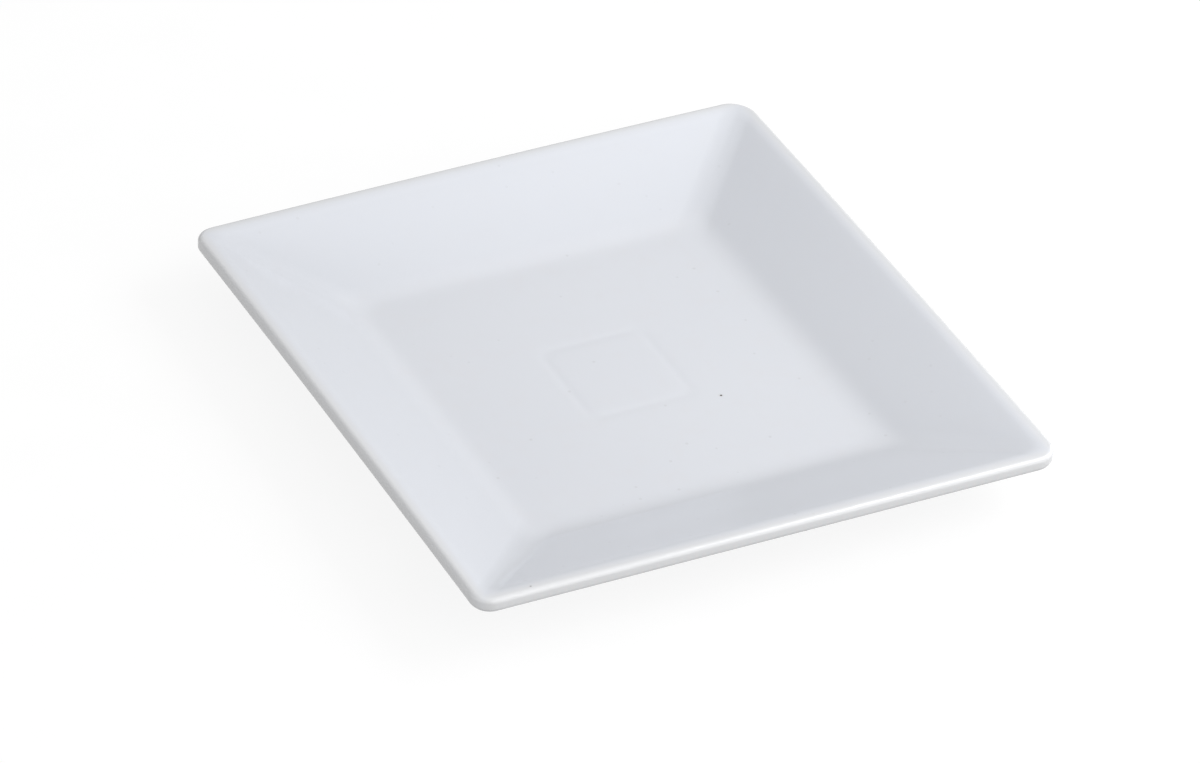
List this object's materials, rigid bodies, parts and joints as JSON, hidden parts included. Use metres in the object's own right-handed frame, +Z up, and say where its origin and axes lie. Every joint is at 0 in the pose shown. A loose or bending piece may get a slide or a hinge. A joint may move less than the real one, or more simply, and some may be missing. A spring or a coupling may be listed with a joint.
{
  "type": "square plate",
  "caption": "Square glazed porcelain plate with a flat well, sloping rim, rounded edge and soft mitred corners, on a square foot ring, for serving small portions.",
  "frame": {"origin": "middle of the foot ring's bearing plane, on the surface that the plate stands on", "axes": "+Z up, out of the well; X and Y along the straight sides of the plate"},
  "size_m": [0.152, 0.152, 0.0187],
  "materials": {
    "bisque": "matte",
    "glaze": "gloss"
  },
  "bodies": {
    "root": {"porcelain_body": "bisque", "outer_glaze": "glaze", "base_glaze": "glaze", "base_centre_glaze": "glaze"}
  },
  "joints": []
}
